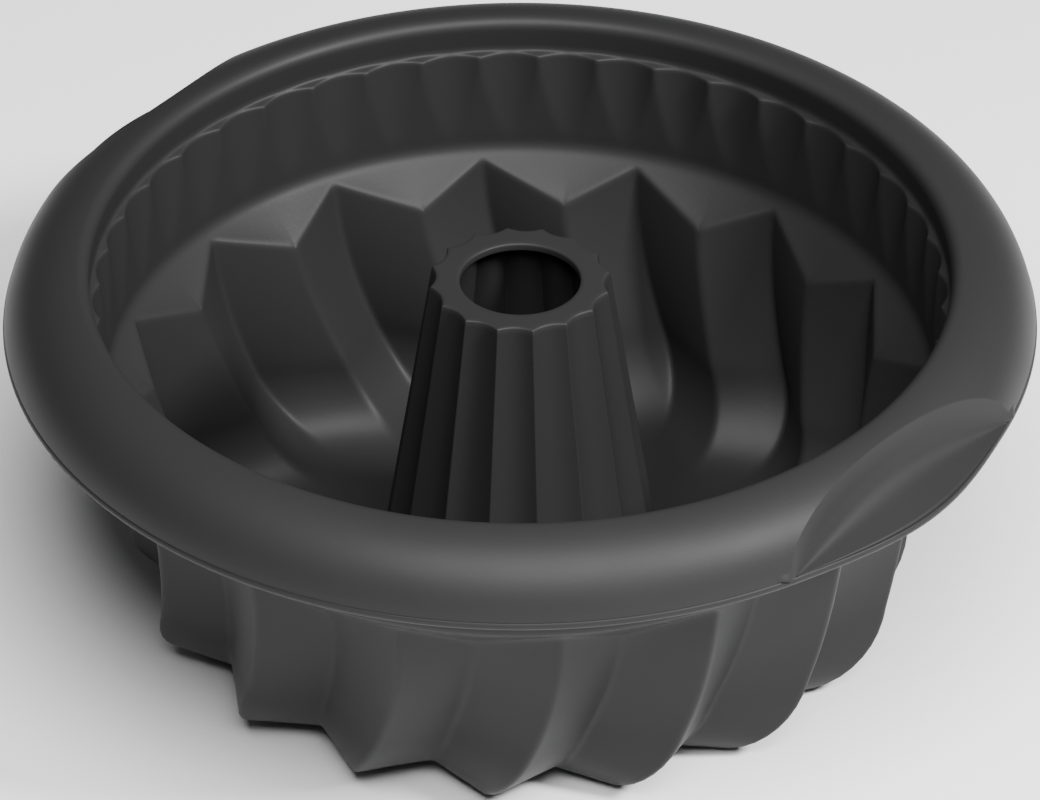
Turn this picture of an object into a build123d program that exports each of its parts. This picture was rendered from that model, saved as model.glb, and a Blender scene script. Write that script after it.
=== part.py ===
from build123d import *
from math import atan, cos, degrees, radians, sin, sqrt
import os

# Bundt pan moulded in silicone over a hidden steel ring. Millimetres, +Z up.
# The origin is on the table, under the centre of the tube. The two grips lie on the X axis.

# Overall sizes
pan_height = 108.3  # table to the top of the rim
mouth_radius = 116.0  # centre line of the rim's crest, where the steel ring runs
wall = 2.3  # general thickness of the silicone

# Rim: a rounded crest that rolls outward and down into a convex flange
crest_radius = 3.2  # rounding of the crest around the ring
wire_diameter = 3.0  # steel ring
flange_reach = 19.6  # crest centre line to the flange's outer edge
flange_drop = 18.1  # top of the rim down to the middle of the edge bead
flange_bulge = 4.6  # how far the flange bows out from a straight cone
edge_bead_radius = 1.6

# Upper wall: a smooth band under the crest, then a row of shallow scallops
band_depth = 9.8  # top of the rim down to the scallops
band_draft = 0.5  # how much the band closes in on its way down
scallop_count = 44
scallop_step = 2.4  # how far the scallops' cusps stand in from the band
scallop_draft = 1.2  # how much the cusps close in down to the ledge
scallop_radius = 18.0  # radius of one scallop's hollow
scallop_depth = 2.1  # hollow at its top, from the cusps' circle
scallop_floor_gap = 4.0  # the hollows run out this far above the ledge
scallop_overrun = 0.8  # how far the cutters pass the top of the scallops

# Ledge: a cone that slopes in and down from the upper wall to the swirl
ledge_height = 70.2  # where the ledge leaves the upper wall
ledge_slope = 0.9  # fall per unit of radius
ledge_fillet = 4.0

# Swirl: ridged basin whose peaks and valleys turn as they go down
flute_count = 16
swirl_turn = 12.0  # degrees, clockwise from above, from the ledge to the foot
swirl_power = 2.2  # the turn starts slowly at the ledge and quickens toward the foot
valley_lag = 1.2  # degrees, valleys trail the middle between two peaks
peak_foot_radius = 80.0  # where a peak's rounded foot meets the table
peak_corner_radius = 23.5
peak_taper = 0.125  # growth in radius per unit of height
valley_foot_radius = 68.0
valley_corner_radius = 23.0
valley_foot_height = 0.5  # a valley's foot stays this far off the table
valley_taper = 0.243
valley_root_radius = 47.0  # where the valleys run out on the base
flank_factor = 1.15  # a slanting flank's thickness, measured along the radius
top_overlap = 1.5  # how far the swirl's solids reach into the ledge's solid
foot_level_shares = (0, 0.04, 0.13, 0.3, 0.6, 1)  # sections up the rounded foot, as shares of it

# Tube: fluted hollow cone with a flat ring on top
tube_height = 103.5
tube_top_radius = 23.8  # over the arrises
tube_base_radius = 39.6
tube_flute_count = 16
tube_flute_phase = 2.7  # degrees, azimuth of one arris
tube_flute_depth = 1.7  # hollow between two arrises at the top
tube_base_flute_depth = 2.8
tube_bore_radius = 15.8
tube_plate = 3.0  # thickness of the flat ring

# Grips: two scoops in the flange, each with a steep back and a flat floor
grip_half_angle = 21.8  # degrees, seen from the pan's centre
grip_back_gap = 5.5  # crest centre line to the middle of the scoop's back
grip_bulge = 2.5  # how far the floor stands out past the flange's edge
grip_floor_lift = 0.3  # floor's top above the middle of the edge bead

# Sizes that follow from the ones above
crest_height = pan_height - crest_radius
flange_radius = mouth_radius + flange_reach
edge_height = pan_height - flange_drop
band_radius = mouth_radius - crest_radius
scallop_top = pan_height - band_depth
cusp_radius = band_radius - band_draft - scallop_step
cusp_base_radius = cusp_radius - scallop_draft
ledge_foot_radius = valley_foot_radius + valley_corner_radius - wall * flank_factor
ledge_foot_height = ledge_height - (cusp_base_radius - ledge_foot_radius) * ledge_slope
ledge_wall_drop = wall * sqrt(1 + ledge_slope**2)
swirl_top = ledge_height - top_overlap
flange_start = (mouth_radius, pan_height - wall / 2)
flange_end = (flange_radius - edge_bead_radius, edge_height)
grip_floor = edge_height + grip_floor_lift
scallop_foot = ledge_height + scallop_floor_gap
scallop_axis_radius = cusp_base_radius - scallop_radius
scallop_slope = (scallop_depth + scallop_draft) / (scallop_top - scallop_foot)
scallop_lean = degrees(atan(scallop_slope))
scallop_length = scallop_top + scallop_overrun - scallop_foot + scallop_radius * scallop_slope
grip_end_x = flange_radius * cos(radians(grip_half_angle))
grip_end_y = flange_radius * sin(radians(grip_half_angle))


def line_radius(level, foot_radius, corner_radius, foot_height, taper, root_radius, inset):
    """Radius of a peak or valley line at a height: a tapered wall on a rounded foot."""
    centre = foot_height + corner_radius
    if level >= centre:
        return foot_radius + corner_radius - inset + (level - centre) * taper
    lowest = foot_height + inset
    if level <= lowest:
        share = (level - inset) / foot_height if foot_height else 1.0
        return root_radius + (foot_radius - root_radius) * share
    return foot_radius + sqrt((corner_radius - inset) ** 2 - (centre - level) ** 2)


def swirl_points(level, inset):
    """Corners of the zigzag section through the swirl, peaks and valleys in turn."""
    peak = line_radius(level, peak_foot_radius, peak_corner_radius, 0,
                       peak_taper, peak_foot_radius, inset)
    valley = line_radius(level, valley_foot_radius, valley_corner_radius, valley_foot_height,
                         valley_taper, valley_root_radius, inset)
    depth = max(0, 1 - level / ledge_height)
    turn = -swirl_turn * depth**swirl_power
    pitch = 360 / flute_count
    points = []
    for index in range(flute_count):
        peak_angle = radians(index * pitch + turn)
        valley_angle = radians((index + 0.5) * pitch + turn - valley_lag)
        points.append((peak * cos(peak_angle), peak * sin(peak_angle)))
        points.append((valley * cos(valley_angle), valley * sin(valley_angle)))
    return points


def swirl_levels(inset, top):
    """Heights of the swirl's sections, closer together round the foot."""
    corner = peak_corner_radius - inset
    heights = [inset + corner * share for share in foot_level_shares]
    middle = (peak_corner_radius + top) / 2
    return heights + [middle, top]


def flute_ends(radius):
    """Arris points round the tube at one height."""
    angles = [radians(tube_flute_phase + 360 * i / tube_flute_count) for i in range(tube_flute_count)]
    return [(radius * cos(angle), radius * sin(angle)) for angle in angles]


# Centre tube with its flutes, solid, then the fluted hollow that follows it inside
with BuildPart() as tube:
    for level, radius, depth in (
        (0, tube_base_radius, tube_base_flute_depth),
        (tube_height, tube_top_radius, tube_flute_depth),
    ):
        arrises = flute_ends(radius)
        with BuildSketch(Plane.XY.offset(level)):
            with BuildLine():
                for start, end in zip(arrises, arrises[1:] + arrises[:1]):
                    SagittaArc(start, end, depth)
            make_face()
    loft(ruled=True)

hollow_top = tube_height - tube_plate
hollow_top_radius = tube_top_radius - wall * flank_factor
hollow_base_radius = tube_base_radius - wall * flank_factor
with BuildPart() as tube_hollow:
    for level, radius, depth in (
        (0, hollow_base_radius, tube_base_flute_depth),
        (hollow_top, hollow_top_radius, tube_flute_depth),
    ):
        arrises = flute_ends(radius)
        with BuildSketch(Plane.XY.offset(level)):
            with BuildLine():
                for start, end in zip(arrises, arrises[1:] + arrises[:1]):
                    SagittaArc(start, end, depth)
            make_face()
    loft(ruled=True)
    with Locations((0, 0, hollow_top)):
        Cylinder(tube_bore_radius, tube_plate, align=(Align.CENTER, Align.CENTER, Align.MIN))

# Back walls and floors of the two grips
with BuildPart() as grips:
    with BuildSketch(Plane.XY.offset(grip_floor - wall)):
        with BuildLine():
            ThreePointArc((grip_end_x, -grip_end_y), (mouth_radius + grip_back_gap, 0),
                          (grip_end_x, grip_end_y))
            Line((grip_end_x, grip_end_y), (grip_end_x - wall, grip_end_y))
            ThreePointArc((grip_end_x - wall, grip_end_y), (mouth_radius + grip_back_gap - wall, 0),
                          (grip_end_x - wall, -grip_end_y))
            Line((grip_end_x - wall, -grip_end_y), (grip_end_x, -grip_end_y))
        make_face()
    extrude(amount=pan_height - grip_floor + wall)
    with BuildSketch(Plane.XZ):
        with BuildLine():
            SagittaArc(flange_start, flange_end, flange_bulge)
            Polyline(flange_end, (flange_end[0], grip_floor - wall),
                     (mouth_radius, grip_floor - wall), flange_start)
        make_face()
    revolve(axis=Axis.Z, mode=Mode.INTERSECT)
    with BuildSketch(Plane.XY.offset(grip_floor - wall)):
        with BuildLine():
            ThreePointArc((grip_end_x, -grip_end_y), (mouth_radius + grip_back_gap, 0),
                          (grip_end_x, grip_end_y))
            ThreePointArc((grip_end_x, grip_end_y), (flange_radius + grip_bulge, 0),
                          (grip_end_x, -grip_end_y))
        make_face()
    extrude(amount=wall)
    mirror(about=Plane.YZ)

with BuildPart() as pan_body:
    # Outside of the swirl
    for level in swirl_levels(0, swirl_top):
        with BuildSketch(Plane.XY.offset(level)):
            with BuildLine():
                Polyline(*swirl_points(level, 0), close=True)
            make_face()
    loft(ruled=True)

    # Outside of the ledge and the upper wall
    with BuildSketch(Plane.XZ):
        with BuildLine():
            Polyline(
                (0, ledge_foot_height - ledge_wall_drop),
                (ledge_foot_radius, ledge_foot_height - ledge_wall_drop),
                (cusp_base_radius + wall, ledge_height - ledge_wall_drop + wall * ledge_slope),
                (band_radius + wall, crest_height),
                (0, crest_height),
                close=True,
            )
        make_face()
    revolve(axis=Axis.Z)

    # Inside of the swirl
    for level in swirl_levels(wall * flank_factor, ledge_height + top_overlap):
        with BuildSketch(Plane.XY.offset(level)):
            with BuildLine():
                Polyline(*swirl_points(level, wall * flank_factor), close=True)
            make_face()
    loft(ruled=True, mode=Mode.SUBTRACT)

    # Inside of the ledge, the scalloped wall and the smooth band
    with BuildSketch(Plane.XZ) as mouth:
        with BuildLine():
            Polyline(
                (0, ledge_foot_height),
                (ledge_foot_radius, ledge_foot_height),
                (cusp_base_radius, ledge_height),
                (cusp_radius, scallop_top),
                (band_radius - band_draft, scallop_top),
                (band_radius, crest_height),
                (band_radius, pan_height),
                (0, pan_height),
                close=True,
            )
        make_face()
        fillet(mouth.vertices().sort_by_distance((cusp_base_radius, ledge_height))[0], ledge_fillet)
    revolve(axis=Axis.Z, mode=Mode.SUBTRACT)

    # Scallops: round cutters that lean outward and run out above the ledge
    with PolarLocations(scallop_axis_radius, scallop_count, start_angle=180 / scallop_count):
        with Locations(Location((0, 0, scallop_foot), (0, scallop_lean, 0))):
            Cylinder(scallop_radius, scallop_length, mode=Mode.SUBTRACT,
                     align=(Align.CENTER, Align.CENTER, Align.MIN))

    # Flange with its crest and edge bead, then the groove that the ring fills
    with BuildSketch(Plane.XZ):
        with BuildLine(mode=Mode.PRIVATE) as flange_line:
            SagittaArc(flange_start, flange_end, flange_bulge)
        SlotArc(flange_line.edge(), wall)
        with Locations((mouth_radius, crest_height)):
            Circle(crest_radius)
        with Locations(flange_end):
            Circle(edge_bead_radius)
    revolve(axis=Axis.Z)
    with BuildSketch(Plane.XZ):
        with Locations((mouth_radius, crest_height)):
            Circle(wire_diameter / 2)
    revolve(axis=Axis.Z, mode=Mode.SUBTRACT)

    # Grips: the flange is cut away over each scoop, then the scoop's own walls go in
    with BuildSketch(Plane.XY.offset(grip_floor)) as scoop:
        with BuildLine():
            ThreePointArc((grip_end_x, -grip_end_y), (mouth_radius + grip_back_gap, 0),
                          (grip_end_x, grip_end_y))
            ThreePointArc((grip_end_x, grip_end_y), (flange_radius + grip_bulge, 0),
                          (grip_end_x, -grip_end_y))
        make_face()
        mirror(about=Plane.YZ)
    extrude(amount=pan_height - grip_floor, mode=Mode.SUBTRACT)
    add(grips.part)

    # Tube and its hollow
    add(tube.part)
    add(tube_hollow.part, mode=Mode.SUBTRACT)

pan_body.part.label = "pan_body"

with BuildPart() as rim_wire:
    with BuildSketch(Plane.XZ):
        with Locations((mouth_radius, crest_height)):
            Circle(wire_diameter / 2)
    revolve(axis=Axis.Z)
rim_wire.part.label = "rim_wire"

os.makedirs("parts", exist_ok=True)
export_step(pan_body.part, "parts/pan_body.step")
export_step(rim_wire.part, "parts/rim_wire.step")
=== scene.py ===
import math

import bpy
import numpy as np
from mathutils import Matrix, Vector


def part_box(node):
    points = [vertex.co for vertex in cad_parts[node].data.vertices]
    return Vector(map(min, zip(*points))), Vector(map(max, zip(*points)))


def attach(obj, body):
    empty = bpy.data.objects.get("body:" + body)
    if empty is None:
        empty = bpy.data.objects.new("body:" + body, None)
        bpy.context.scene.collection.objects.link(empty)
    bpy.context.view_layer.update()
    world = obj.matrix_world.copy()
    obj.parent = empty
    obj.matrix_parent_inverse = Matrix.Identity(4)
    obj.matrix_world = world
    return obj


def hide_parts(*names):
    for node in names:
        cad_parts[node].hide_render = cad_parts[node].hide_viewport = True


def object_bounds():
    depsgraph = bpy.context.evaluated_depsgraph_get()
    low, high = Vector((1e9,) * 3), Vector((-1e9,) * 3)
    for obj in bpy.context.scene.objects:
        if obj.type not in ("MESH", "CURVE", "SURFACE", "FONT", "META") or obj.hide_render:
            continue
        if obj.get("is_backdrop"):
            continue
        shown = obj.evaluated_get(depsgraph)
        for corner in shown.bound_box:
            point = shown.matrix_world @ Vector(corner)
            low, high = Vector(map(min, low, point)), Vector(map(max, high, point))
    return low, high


# A bundt pan moulded in black silicone. The frame gives its overall sizes; lengths here are metres.
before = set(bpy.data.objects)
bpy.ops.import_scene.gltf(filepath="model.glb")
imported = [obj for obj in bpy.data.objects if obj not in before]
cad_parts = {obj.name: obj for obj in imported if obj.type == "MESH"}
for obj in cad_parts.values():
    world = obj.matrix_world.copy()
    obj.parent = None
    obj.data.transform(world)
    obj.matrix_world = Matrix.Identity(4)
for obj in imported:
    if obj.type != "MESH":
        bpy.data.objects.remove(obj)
cad_low, cad_high = (Vector(corner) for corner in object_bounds())
MM = 0.001

# Places read from the frame
wire_low, wire_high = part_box("rim_wire")
WIRE_RADIUS = (wire_high.z - wire_low.z) / 2
CREST_R = max(wire_high.x, wire_high.y) - WIRE_RADIUS  # centre line of the rim's crest
CREST_Z = (wire_high.z + wire_low.z) / 2
RIM_TOP = cad_high.z
GRIP_REACH = cad_high.x  # outer edge over the grips
CREST_RADIUS = RIM_TOP - CREST_Z

# Wall and flange. The flange hangs from the crest in one big arc and ends in a round bead.
WALL = 2.3 * MM
FLANK_WALL = 1.15 * WALL  # a slanting flank's thickness, measured along the radius
FLANGE_R = CREST_R + 19.6 * MM
EDGE_Z = RIM_TOP - 18.1 * MM
FLANGE_BULGE = 4.6 * MM
EDGE_BEAD = 1.35 * MM
EDGE_MARGIN = 0.3 * MM  # keeps the edge over the grips inside the CAD model's
# How far the flange's arc is trimmed where it leaves the crest and where it meets the bead
TRIM_FIRST, TRIM_LAST = math.radians(2), math.radians(3)
# The steel ring sits in a round bulge, which comes out under the flange between these angles
HOLD_FIRST, HOLD_LAST = math.radians(-23), math.radians(-104)

# Upper wall: a smooth band, a small step out and a row of scallops that run out near the ledge
BAND_R = CREST_R - CREST_RADIUS
BAND_WALL = 0.95 * WALL
STEP_BACK, STEP_RISE = 0.2 * MM, 0.3 * MM
HOLD_DROP = 0.3 * MM  # from the ring's bulge down to the first row of the wall's outside
SCALLOP_TOP = RIM_TOP - 9.8 * MM
CUSP_R = BAND_R - 2.9 * MM
CUSP_FOOT_R = CUSP_R - 1.2 * MM
SCALLOP_COUNT = 44
SCALLOP_DEPTH = 2.1 * MM
SCALLOP_BOW = 0.86  # how far a hollow falls from its middle to its cusps, as a share of its depth
SCALLOP_SOFT = 0.12 * MM
SCALLOP_FOOT = 74.2 * MM

# Ledge: a cone that falls inward, filleted into the wall inside and outside
LEDGE_Z = 70.2 * MM
LEDGE_SLOPE = 0.9
LEDGE_FILLET_IN, LEDGE_FILLET_RISE = 1.68 * MM, 2.2 * MM
OUTER_FILLET_IN, OUTER_FILLET_RISE = 0.8 * MM, 3.2 * MM

# Swirled basin
FLUTE_COUNT = 16
# How far peak and valley lines turn from the ledge to the foot, and how late the turn comes
INSIDE_TURN = ((math.radians(11.5), 1.9), (math.radians(12.4), 1.45))
OUTSIDE_TURN = ((math.radians(12.5), 2.6), (math.radians(11.0), 1.9))
VALLEY_LAG = math.radians(1.2)
ROOT_R = 47 * MM  # where the floor turns into the tube's foot

# Tube: a hollow fluted cone with a flat ring on top
TUBE_TOP = 103.5 * MM
TUBE_TOP_R = 23.8 * MM
TUBE_FOOT_R = 39.6 * MM
TUBE_FILLET = 6.3 * MM
TUBE_FLUTE = 1.7 * MM
TUBE_FOOT_FLUTE = 2.8 * MM
TUBE_PHASE = math.radians(2.7)
BORE_R = 15.8 * MM
TUBE_PLATE = 2.2 * MM

# Grips: a scoop let into the flange at each end of the X axis, and a swell of the flange's edge
GRIP_HALF = math.radians(21.8)
GRIP_MARGIN = 1.05  # the scoop's back is worked out a little past the scoop's ends
GRIP_FADE = 0.09  # share of its half angle over which the scoop runs out
GRIP_BACK_R = CREST_R + 5.5 * MM
GRIP_BACK_BOW = 201.8 * MM  # radius of the scoop's back, seen from above
GRIP_BACK_LEAN = 1.6 * MM
GRIP_BACK_SWEEP = 0.6  # widest angle from the grip, in radians, that the back's arc is worked out for
GRIP_FLOOR_SLOPE = 0.26
# The fillet between the scoop's back and floor: shares of the back and of the floor that it takes
GRIP_FILLET_UP, GRIP_FILLET_OUT = 0.5, 0.4
GRIP_BULGE_HALF = math.radians(18)
SCOOP_SHARE = 0.93  # the flange's arc ends here at the latest, and the rows of the scoop's floor follow

# Roundings of the edges, as the distance that each takes up on both sides
BORE_EDGE, TUBE_EDGE, HOLLOW_EDGE = 0.8 * MM, 0.7 * MM, 1.5 * MM
LEDGE_EDGE, UNDER_LEDGE_EDGE, FLUTE_EDGE, STEP_EDGE = 1.3 * MM, 1.6 * MM, 1.6 * MM, 0.7 * MM

# The mesh is a closed grid: columns run round the pan, rows run round its section
FLUTE_COLUMNS = 44
VALLEY_COLUMN = 20  # from a peak, the column that runs down the next valley
TUBE_COLUMN = 26  # the column that runs down the tube's first arris
CROWDING = 0.55  # how much the columns crowd together toward the peaks and valleys
ROUND_ROWS = 12  # rows round the crest, the edge bead and the ring's bulge
SOFTENED_ROWS, SOFTENED_COLUMNS = 16, 9  # the most rows and columns that one rounding reaches
COLUMNS = FLUTE_COUNT * FLUTE_COLUMNS
TINY = 1e-9
column = np.arange(COLUMNS)
even_angle = column * 2 * math.pi / COLUMNS
tube_angle = even_angle + (TUBE_PHASE - even_angle[TUBE_COLUMN])
# Each column's angle from the nearer grip, and how far the flange's edge swells out there
off_grip = (even_angle + math.pi / 2) % math.pi - math.pi / 2
edge_swell = np.cos(np.clip(off_grip / GRIP_BULGE_HALF, -1, 1) * math.pi / 2) ** 2
edge_swell = edge_swell * (GRIP_REACH - FLANGE_R - EDGE_MARGIN)


def spaced(count, dense_start=0.0, dense_end=0.0):
    """Shares from 0 to 1, closer together at the ends that are asked to be dense."""
    share = np.linspace(0, 1, count)
    start = share ** (1 + dense_start)
    end = 1 - (1 - share) ** (1 + dense_end)
    return start * (1 - share) + end * share


def smooth(value):
    value = np.clip(value, 0, 1)
    return value * value * (3 - 2 * value)


def ring(radius, height, angle):
    """One row of the grid from radius, height and angle, each a number or one per column."""
    radius = np.broadcast_to(radius, COLUMNS)
    height = np.broadcast_to(height, COLUMNS)
    return np.stack([radius * np.cos(angle), radius * np.sin(angle), height], axis=1)


def bend(start, corner, end, share):
    """Point at a share of a soft corner, a quadratic curve from start to end."""
    return start * (1 - share) ** 2 + corner * 2 * share * (1 - share) + end * share**2


def along(points, share):
    """Point at a share of a profile's length. The profile is a list of (radius, height)."""
    points = np.array(points)
    steps = np.linalg.norm(np.diff(points, axis=0), axis=1)
    length = np.concatenate([[0], np.cumsum(steps)]) / steps.sum()
    return np.array([np.interp(share, length, points[:, 0]), np.interp(share, length, points[:, 1])])


def arc(centre, radius, start, end, count=24):
    """Points of an arc in the section, angles in degrees from the outward direction."""
    angles = np.radians(np.linspace(start, end, count))
    return [(centre[0] + radius * math.cos(a), centre[1] + radius * math.sin(a)) for a in angles]


def cone_height(radius, drop=0.0):
    """Height of the ledge's cone, or of its underside, at a radius."""
    return LEDGE_Z - (CUSP_FOOT_R - radius) * LEDGE_SLOPE - drop


def meet_cone(radius, height, taper, drop):
    """Where a tapered line that starts at radius and height meets the ledge's cone."""
    rise = (cone_height(radius, drop) - height) / (1 - taper * LEDGE_SLOPE)
    return radius + rise * taper, height + rise


def peak_profile(inset, drop):
    """Section along a peak line, from the tube's foot out and up to the ledge."""
    foot, corner, taper = 80 * MM, 23.5 * MM, 0.125
    points = [(ROOT_R, inset), (foot, inset)]
    points += arc((foot, corner), corner - inset, -90, 0)
    points.append(meet_cone(foot + corner - inset, corner, taper, drop))
    return points


def valley_profile(inset, drop):
    """Section along a valley line, which stays higher over the table."""
    foot, corner, lift, taper = 68 * MM, 23 * MM, 0.5 * MM, 0.243
    points = [(ROOT_R, inset), (foot, lift + inset)]
    points += arc((foot, lift + corner), corner - inset, -90, 0)
    points.append(meet_cone(foot + corner - inset, lift + corner, taper, drop))
    return points


def swirl_rings(inset, drop, shares, turns):
    """Rows of the swirled basin between its peak and valley lines."""
    peaks, valleys = peak_profile(inset, drop), valley_profile(inset, drop)
    (peak_turn, peak_late), (valley_turn, valley_late) = turns
    pitch = 2 * math.pi / FLUTE_COUNT
    flute, step = np.divmod(column, FLUTE_COLUMNS)
    falling = step < VALLEY_COLUMN
    share = np.where(falling, step / VALLEY_COLUMN,
                     (step - VALLEY_COLUMN) / (FLUTE_COLUMNS - VALLEY_COLUMN))
    share = share - CROWDING * np.sin(2 * math.pi * share) / (2 * math.pi)
    toward_valley = np.where(falling, share, 1 - share)[:, None]
    rows = []
    for place in shares:
        peak, valley = along(peaks, place), along(valleys, place)
        peak_angle = (flute + np.where(falling, 0, 1)) * pitch
        peak_angle = peak_angle - peak_turn * (1 - peak[1] / peaks[-1][1]) ** peak_late
        valley_angle = (flute + 0.5) * pitch - VALLEY_LAG
        valley_angle = valley_angle - valley_turn * (1 - valley[1] / valleys[-1][1]) ** valley_late
        peak_ring = ring(peak[0], peak[1], peak_angle)
        valley_ring = ring(valley[0], valley[1], valley_angle)
        rows.append(peak_ring * (1 - toward_valley) + valley_ring * toward_valley)
    return rows


def turned(rows_from, rows_to, shares, height=None):
    """Rows between two rings, in radius, height and angle rather than in a straight line.

    Where height is given, it is a surface's height at a radius, which the rows run out onto.
    """
    def polar(row):
        return np.hypot(row[:, 0], row[:, 1]), row[:, 2], np.arctan2(row[:, 1], row[:, 0])

    radius_a, height_a, angle_a = polar(rows_from)
    radius_b, height_b, angle_b = polar(rows_to)
    gap = (angle_b - angle_a + math.pi) % (2 * math.pi) - math.pi
    rows = []
    for share in shares:
        radius = radius_a + (radius_b - radius_a) * share
        level = height_a + (height_b - height_a) * share
        if height is not None:
            miss = height_a - height(radius_a)
            level = height(radius) + miss * (1 - share) ** 2
        rows.append(ring(radius, level, angle_a + gap * smooth(share)))
    return rows


def fluted(radius, depth):
    """Radius of the tube at each column: hollows between sharp arrises."""
    place = ((tube_angle - TUBE_PHASE) * FLUTE_COUNT / (2 * math.pi)) % 1
    return radius - depth * (1 - (2 * place - 1) ** 2)


def tube_ring(level, share, inset=0.0):
    """One row of the tube, or of its hollow, at a share of the way from its foot to its top."""
    radius = TUBE_FOOT_R + (TUBE_TOP_R - TUBE_FOOT_R) * share - inset
    depth = TUBE_FOOT_FLUTE + (TUBE_FLUTE - TUBE_FOOT_FLUTE) * share
    return ring(fluted(radius, depth), level, tube_angle)


def round_rings(radius, height, size, first, last):
    """Rows round a circle in the section, from one angle to another."""
    angles = np.linspace(first, last, ROUND_ROWS)
    return [ring(radius + size * math.cos(a), height + size * math.sin(a), even_angle) for a in angles]


def scallop_radius(level, angle):
    """Radius of the scalloped wall: cusps point in, hollows run out near the ledge."""
    rise = (level - LEDGE_Z) / (SCALLOP_TOP - LEDGE_Z)
    cusp = CUSP_FOOT_R + (CUSP_R - CUSP_FOOT_R) * rise
    place = (angle * SCALLOP_COUNT / (2 * math.pi) + 0.5) % 1 * 2 - 1
    growth = np.clip((level - SCALLOP_FOOT) / (SCALLOP_TOP - SCALLOP_FOOT), 0, 1)
    hollow = SCALLOP_DEPTH * (growth - place**2 * SCALLOP_BOW)
    return cusp + (hollow + np.sqrt(hollow**2 + SCALLOP_SOFT**2)) / 2


# The flange's arc, and the angles of its ends seen from its centre
flange_start = np.array([CREST_R, RIM_TOP - WALL / 2])
flange_end = np.array([FLANGE_R - EDGE_BEAD, EDGE_Z])
chord = flange_end - flange_start
chord_length = np.linalg.norm(chord)
flange_radius = (chord_length**2 / 4 + FLANGE_BULGE**2) / (2 * FLANGE_BULGE)
outward = np.array([-chord[1], chord[0]]) / chord_length
flange_centre = (flange_start + flange_end) / 2 - outward * (flange_radius - FLANGE_BULGE)
start_ray, end_ray = flange_start - flange_centre, flange_end - flange_centre
FLANGE_FIRST = math.atan2(start_ray[1], start_ray[0]) - TRIM_FIRST
FLANGE_LAST = math.atan2(end_ray[1], end_ray[0]) + TRIM_LAST
hold_reach = CREST_R + CREST_RADIUS * math.cos(HOLD_FIRST) - flange_centre[0]
UNDER_FIRST = math.acos(hold_reach / (flange_radius - WALL / 2))


def flange_point(radius, angle):
    """Radius and height of a point of the flange's arc at each column, moved out with the edge."""
    level = flange_centre[1] + radius * math.sin(angle)
    return np.stack([flange_centre[0] + radius * math.cos(angle) + edge_swell, np.full(COLUMNS, level)])


def flange_rings(inset, first, arc_rows, wall_rows, floor_rows):
    """Rows over the flange, from an angle near the crest to the edge bead, with the scoops let in."""
    radius = flange_radius + WALL / 2 - inset
    # The arc ends where it meets the scoop's back, which is itself an arc seen from above
    back_centre = GRIP_BACK_R + GRIP_BACK_BOW
    aside = back_centre * np.sin(np.clip(off_grip, -GRIP_BACK_SWEEP, GRIP_BACK_SWEEP))
    back_r = back_centre * np.cos(off_grip) - np.sqrt(GRIP_BACK_BOW**2 - aside**2)
    inside = np.abs(off_grip) < GRIP_HALF * GRIP_MARGIN
    back_r = np.where(inside, back_r, FLANGE_R) - inset
    lowest = FLANGE_FIRST + SCOOP_SHARE * (FLANGE_LAST - FLANGE_FIRST)
    arc_last = np.arccos(np.clip((back_r - flange_centre[0]) / radius, 0, 1))
    arc_last = np.maximum(arc_last, lowest)
    rows = []
    for share in spaced(arc_rows, dense_end=0.6):
        theta = first + (arc_last - first) * share
        rows.append((flange_centre[0] + radius * np.cos(theta), flange_centre[1] + radius * np.sin(theta)))
    last = np.stack(rows[-1])
    end = flange_point(radius, FLANGE_LAST)
    # Away from the scoops the rows of the back and the floor only carry the arc on
    plain = flange_point(radius, (lowest + FLANGE_LAST) / 2)
    foot_r = last[0] + GRIP_BACK_LEAN
    foot = np.stack([foot_r, end[1] + (end[0] - foot_r) * GRIP_FLOOR_SLOPE])
    weight = smooth((GRIP_HALF - np.abs(off_grip)) / (GRIP_HALF * GRIP_FADE))
    foot = plain + (foot - plain) * weight
    fillet = last + (foot - last) * GRIP_FILLET_UP
    flat = foot + (end - foot) * GRIP_FILLET_OUT
    rows += [last + (fillet - last) * share for share in spaced(wall_rows, dense_start=0.4)[1:]]
    rows += [bend(fillet, foot, flat, share) for share in np.linspace(0, 1, floor_rows)[1:]]
    rows += [flat + (end - flat) * share for share in np.linspace(0, 1, wall_rows)[1:]]
    return [ring(r, z, even_angle) for r, z in rows]


def rounding(before, edge, after):
    """The way to push an edge to round it off, from its points and those beside it."""
    before, after = before - edge, after - edge
    before_length = np.maximum(np.linalg.norm(before, axis=1), TINY)
    after_length = np.maximum(np.linalg.norm(after, axis=1), TINY)
    return before / before_length[:, None] + after / after_length[:, None]


def push(walked, reach):
    """How far to push a line of the grid that lies some way from the edge."""
    return (np.clip(1 - walked / reach, 0, 1) ** 2 * reach / 4)[:, None]


def row_moves(grid, row, reach):
    """The moves of rows that round the edge along one row, over a distance to each side."""
    count = len(grid)
    turn = rounding(grid[row - 1], grid[row], grid[(row + 1) % count])
    moves = [(row, turn * push(np.zeros(COLUMNS), reach))]
    for way in (-1, 1):
        walked = np.zeros(COLUMNS)
        for step in range(1, SOFTENED_ROWS):
            here, last = (row + way * step) % count, (row + way * (step - 1)) % count
            walked = walked + np.linalg.norm(grid[here] - grid[last], axis=1)
            moves.append((here, turn * push(walked, reach)))
    return moves


def soften_column(grid, col, reach):
    """Rounds the edge along one column of some rows, over a distance to each side."""
    turn = rounding(grid[:, col - 1], grid[:, col], grid[:, (col + 1) % COLUMNS])
    moved = grid.copy()
    moved[:, col] += turn * push(np.zeros(len(grid)), reach)
    for way in (-1, 1):
        walked = np.zeros(len(grid))
        for step in range(1, SOFTENED_COLUMNS):
            here, last = (col + way * step) % COLUMNS, (col + way * (step - 1)) % COLUMNS
            walked = walked + np.linalg.norm(grid[:, here] - grid[:, last], axis=1)
            moved[:, here] += turn * push(walked, reach)
    return moved


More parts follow.
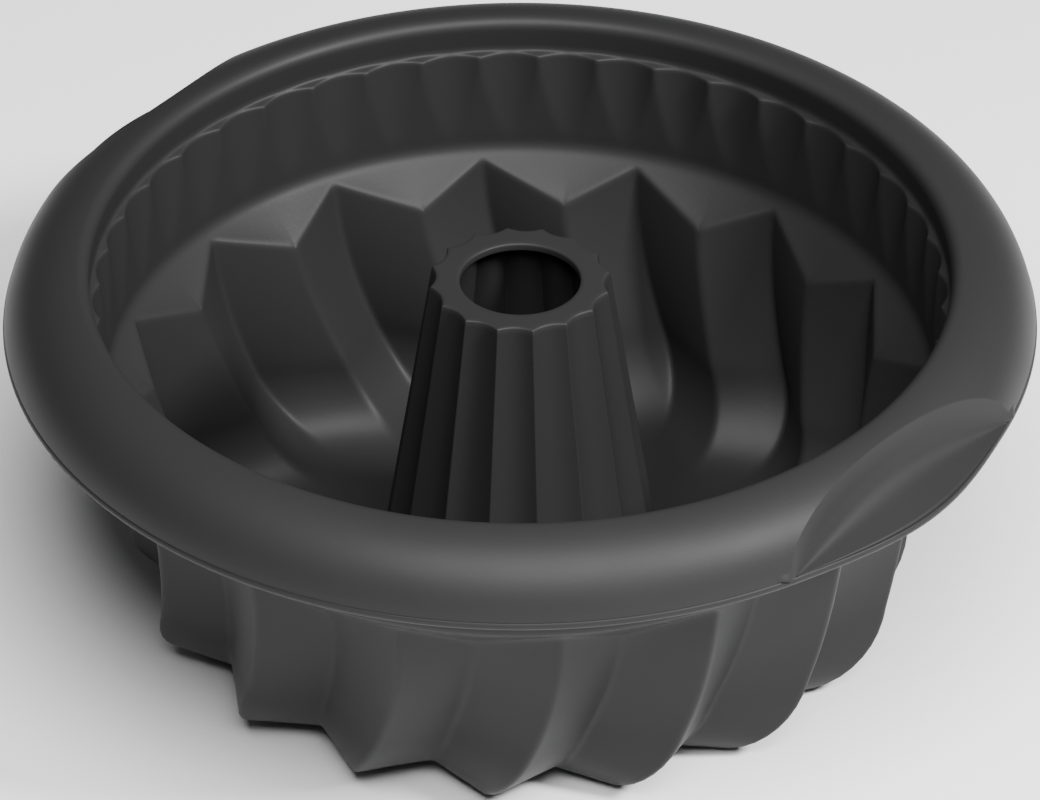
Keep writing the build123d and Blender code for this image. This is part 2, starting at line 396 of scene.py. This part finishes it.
def pan_rows():
    """All rows of the moulding's grid, the rows to round off, and the rows of both sides of the swirl."""
    rows, creases = [], []

    def crease(reach):
        creases.append((len(rows) - 1, reach))

    # Bore, from the hollow's ceiling up, then the flat ring on top of the tube
    hollow_top = TUBE_TOP - TUBE_PLATE
    for share in spaced(6, dense_end=0.6)[1:]:
        rows.append(ring(BORE_R, hollow_top + TUBE_PLATE * share, tube_angle))
    crease(BORE_EDGE)
    outline = fluted(TUBE_TOP_R, TUBE_FLUTE)
    for share in spaced(9, dense_start=0.5, dense_end=0.8)[1:]:
        rows.append(ring(BORE_R + (outline - BORE_R) * share, TUBE_TOP, tube_angle))
    crease(TUBE_EDGE)

    # Tube's side down to its foot, and the fillet out to the basin's floor
    foot_join = FLANK_WALL + TUBE_FILLET
    for share in spaced(22, dense_start=1.0, dense_end=0.2)[1:]:
        level = TUBE_TOP + (foot_join - TUBE_TOP) * share
        rows.append(tube_ring(level, level / TUBE_TOP))
    foot_row = rows[-1]
    basin = swirl_rings(FLANK_WALL, 0.0, spaced(46, dense_end=0.5), INSIDE_TURN)
    root_row = basin[0]
    for share in np.linspace(0, 1, 8)[1:-1]:
        turn = share * math.pi / 2
        blend = turned(foot_row, root_row, [1 - math.cos(turn)])[0]
        blend[:, 2] = foot_row[:, 2] + (root_row[:, 2] - foot_row[:, 2]) * math.sin(turn)
        rows.append(blend)

    # Basin up to the zigzag edge, then the ledge's cone up to the wall
    first = len(rows)
    rows += basin
    basin_rows = (first, len(rows))
    crease(LEDGE_EDGE)
    cone_end = CUSP_FOOT_R - LEDGE_FILLET_IN
    junction = ring(cone_end, cone_height(cone_end), even_angle)
    rows += turned(rows[-1], junction, spaced(10, dense_start=0.9)[1:], cone_height)
    wall_start = LEDGE_Z + LEDGE_FILLET_RISE
    corner = np.array([CUSP_FOOT_R, LEDGE_Z])
    start = np.array([cone_end, cone_height(cone_end)])
    end = np.array([scallop_radius(wall_start, 0.0), wall_start])
    for share in np.linspace(0, 1, 6)[1:]:
        rows.append(ring(*bend(start, corner, end, share), even_angle))

    # Scalloped wall, the step above it and the smooth band
    for share in spaced(20, dense_end=0.9)[1:]:
        level = wall_start + (SCALLOP_TOP - wall_start) * share
        rows.append(ring(scallop_radius(level, even_angle), level, even_angle))
    crease(STEP_EDGE)
    band_foot = ring(BAND_R - STEP_BACK, SCALLOP_TOP + STEP_RISE, even_angle)
    rows += turned(rows[-1], band_foot, spaced(6, dense_start=0.6, dense_end=0.3)[1:])
    crease(STEP_EDGE)
    for share in spaced(6, dense_start=0.7)[1:]:
        level = band_foot[0, 2] + (CREST_Z - band_foot[0, 2]) * share
        rows.append(ring(BAND_R, level, even_angle))
    rows += round_rings(CREST_R, CREST_Z, CREST_RADIUS, math.pi, math.radians(88))[1:]

    # Flange, edge bead and the flange's underside
    rows += flange_rings(0.0, FLANGE_FIRST, 22, 7, 10)
    bead_r = FLANGE_R + edge_swell - EDGE_BEAD
    rows += round_rings(bead_r, EDGE_Z, EDGE_BEAD, math.radians(62), math.radians(-118))
    rows += flange_rings(WALL, UNDER_FIRST, 14, 5, 7)[::-1]

    # Bulge that holds the steel ring, then the outside of the wall, of the ledge and of the basin
    rows += round_rings(CREST_R, CREST_Z, CREST_RADIUS, HOLD_FIRST, HOLD_LAST)
    outer_top_r = BAND_R + BAND_WALL
    outer_top = CREST_Z - CREST_RADIUS - HOLD_DROP
    outer_foot_r = CUSP_FOOT_R + WALL
    outer_foot = LEDGE_Z + OUTER_FILLET_RISE
    for share in spaced(8, dense_start=0.3, dense_end=0.3):
        level = outer_top + (outer_foot - outer_top) * share
        rows.append(ring(outer_top_r + (outer_foot_r - outer_top_r) * share, level, even_angle))
    drop = WALL * math.sqrt(1 + LEDGE_SLOPE**2)
    cone_start_r = outer_foot_r - OUTER_FILLET_IN
    corner = np.array([outer_foot_r, cone_height(outer_foot_r, drop)])
    start = np.array([outer_foot_r, outer_foot])
    end = np.array([cone_start_r, cone_height(cone_start_r, drop)])
    for share in np.linspace(0, 1, 6)[1:]:
        rows.append(ring(*bend(start, corner, end, share), even_angle))
    under = swirl_rings(0.0, drop, spaced(40, dense_end=0.5), OUTSIDE_TURN)[::-1]
    shares = spaced(8, dense_start=0.9)[1:-1]
    rows += turned(under[0], rows[-1], shares, lambda radius: cone_height(radius, drop))[::-1]
    first = len(rows)
    rows += under
    under_rows = (first, len(rows))
    creases.append((first, UNDER_LEDGE_EDGE))

    # Flat base in to the tube's hollow, up the hollow and in to the bore
    rows += turned(rows[-1], tube_ring(0.0, 0.0, FLANK_WALL), spaced(5, dense_end=0.8)[1:])
    crease(HOLLOW_EDGE)
    for share in spaced(12, dense_start=0.8, dense_end=0.4)[1:]:
        rows.append(tube_ring(hollow_top * share, share, FLANK_WALL))
    ceiling = ring(BORE_R, hollow_top, tube_angle)
    rows += turned(rows[-1], ceiling, spaced(4)[1:])
    return np.array(rows), creases, (basin_rows, under_rows)


def grid_mesh(name, grid):
    """Closed quad mesh from rows and columns that both join up with themselves."""
    count = len(grid)
    row, col = np.divmod(np.arange(count * COLUMNS), COLUMNS)
    next_row, next_col = (row + 1) % count, (col + 1) % COLUMNS
    faces = np.stack([row * COLUMNS + col, next_row * COLUMNS + col,
                      next_row * COLUMNS + next_col, row * COLUMNS + next_col], axis=1)
    mesh = bpy.data.meshes.new(name)
    mesh.vertices.add(count * COLUMNS)
    mesh.vertices.foreach_set("co", grid.reshape(-1).astype(np.float32))
    mesh.loops.add(faces.size)
    mesh.loops.foreach_set("vertex_index", faces.reshape(-1).astype(np.int32))
    mesh.polygons.add(len(faces))
    mesh.polygons.foreach_set("loop_start", np.arange(0, faces.size, 4, dtype=np.int32))
    mesh.polygons.foreach_set("loop_total", np.full(len(faces), 4, dtype=np.int32))
    mesh.update()
    mesh.validate()
    for polygon in mesh.polygons:
        polygon.use_smooth = True
    piece = bpy.data.objects.new(name, mesh)
    bpy.context.scene.collection.objects.link(piece)
    return piece


def make_pan():
    grid, creases, swirls = pan_rows()
    for first, last in swirls:
        part = grid[first:last]
        for flute in range(FLUTE_COUNT):
            part = soften_column(part, flute * FLUTE_COLUMNS, FLUTE_EDGE)
            part = soften_column(part, flute * FLUTE_COLUMNS + VALLEY_COLUMN, FLUTE_EDGE)
        grid[first:last] = part
    moves = [move for row, reach in creases for move in row_moves(grid, row, reach)]
    for row, move in moves:
        grid[row] += move
    return grid_mesh("silicone_moulding", grid)


def silicone():
    """Matte black silicone: fine moulded grain, and slight unevenness in its gloss."""
    material = bpy.data.materials.new("black_silicone")
    material.use_nodes = True
    nodes, links = material.node_tree.nodes, material.node_tree.links
    shader = nodes["Principled BSDF"]
    shader.inputs["Base Color"].default_value = (0.015, 0.015, 0.0155, 1)
    shader.inputs["Specular IOR Level"].default_value = 0.2
    shader.inputs["IOR"].default_value = 1.43
    coordinates = nodes.new("ShaderNodeTexCoord")
    grain = nodes.new("ShaderNodeTexNoise")
    grain.inputs["Scale"].default_value = 900
    grain.inputs["Detail"].default_value = 3
    bump = nodes.new("ShaderNodeBump")
    bump.inputs["Strength"].default_value = 0.08
    bump.inputs["Distance"].default_value = 0.0003
    links.new(coordinates.outputs["Object"], grain.inputs["Vector"])
    links.new(grain.outputs["Fac"], bump.inputs["Height"])
    links.new(bump.outputs["Normal"], shader.inputs["Normal"])
    cloud = nodes.new("ShaderNodeTexNoise")
    cloud.inputs["Scale"].default_value = 28
    cloud.inputs["Detail"].default_value = 4
    gloss = nodes.new("ShaderNodeMapRange")
    gloss.inputs["To Min"].default_value = 0.42
    gloss.inputs["To Max"].default_value = 0.58
    links.new(coordinates.outputs["Object"], cloud.inputs["Vector"])
    links.new(cloud.outputs["Fac"], gloss.inputs["Value"])
    links.new(gloss.outputs["Result"], shader.inputs["Roughness"])
    return material


def steel():
    """Drawn stainless wire."""
    material = bpy.data.materials.new("drawn_steel")
    material.use_nodes = True
    nodes, links = material.node_tree.nodes, material.node_tree.links
    shader = nodes["Principled BSDF"]
    shader.inputs["Base Color"].default_value = (0.62, 0.62, 0.64, 1)
    shader.inputs["Metallic"].default_value = 1
    drawn = nodes.new("ShaderNodeTexNoise")
    drawn.inputs["Scale"].default_value = 400
    gloss = nodes.new("ShaderNodeMapRange")
    gloss.inputs["To Min"].default_value = 0.25
    gloss.inputs["To Max"].default_value = 0.45
    links.new(drawn.outputs["Fac"], gloss.inputs["Value"])
    links.new(gloss.outputs["Result"], shader.inputs["Roughness"])
    return material


def area_light(name, place, size, power):
    data = bpy.data.lights.new(name, "AREA")
    data.shape = "DISK"
    data.size = size
    data.energy = power
    lamp = bpy.data.objects.new(name, data)
    lamp.location = place
    lamp.rotation_euler = (LIT - place).to_track_quat("-Z", "Y").to_euler()
    bpy.context.scene.collection.objects.link(lamp)


def around(azimuth, elevation, distance):
    """A place as seen from the middle of the pan's base, angles in degrees, azimuth from +X."""
    azimuth, elevation = math.radians(azimuth), math.radians(elevation)
    flat = distance * math.cos(elevation)
    return Vector((flat * math.cos(azimuth), flat * math.sin(azimuth), distance * math.sin(elevation)))


CAMERA_AZIMUTH, CAMERA_ELEVATION, CAMERA_DISTANCE = -50.5, 35.7, 4.0
CAMERA_LENS = 526  # a long lens on a 36 mm sensor
AIM = Vector((0, 0, 0.0644))  # what the camera looks at
LIT = Vector((0, 0, 0.06))  # what the lights point at
FLOOR_SIZE = 12


def make_stage():
    bpy.ops.mesh.primitive_plane_add(size=FLOOR_SIZE, location=(0, 0, 0))
    floor = bpy.context.object
    floor.name = "floor"
    pale = bpy.data.materials.new("pale_floor")
    pale.use_nodes = True
    shader = pale.node_tree.nodes["Principled BSDF"]
    shader.inputs["Base Color"].default_value = (0.85, 0.85, 0.85, 1)
    shader.inputs["Roughness"].default_value = 0.9
    floor.data.materials.append(pale)
    floor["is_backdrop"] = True
    world = bpy.data.worlds.new("studio")
    world.use_nodes = True
    background = world.node_tree.nodes["Background"]
    background.inputs["Color"].default_value = (1, 1, 1, 1)
    background.inputs["Strength"].default_value = 0.07
    bpy.context.scene.world = world
    area_light("key", around(CAMERA_AZIMUTH + 62, 45, 1.8), size=0.36, power=62)
    area_light("overhead", around(CAMERA_AZIMUTH + 5, 61, 1.6), size=1.1, power=56)
    camera_data = bpy.data.cameras.new("camera")
    camera_data.sensor_width = 36
    camera_data.lens = CAMERA_LENS
    camera_data.clip_end = 50
    camera = bpy.data.objects.new("camera", camera_data)
    camera.location = AIM + around(CAMERA_AZIMUTH, CAMERA_ELEVATION, CAMERA_DISTANCE)
    camera.rotation_euler = (AIM - camera.location).to_track_quat("-Z", "Y").to_euler()
    bpy.context.scene.collection.objects.link(camera)
    bpy.context.scene.camera = camera


make_stage()
pan = make_pan()
pan.data.materials.append(silicone())
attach(pan, "root")
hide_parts("pan_body")
rim_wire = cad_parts["rim_wire"]
rim_wire.data.materials.clear()
rim_wire.data.materials.append(steel())
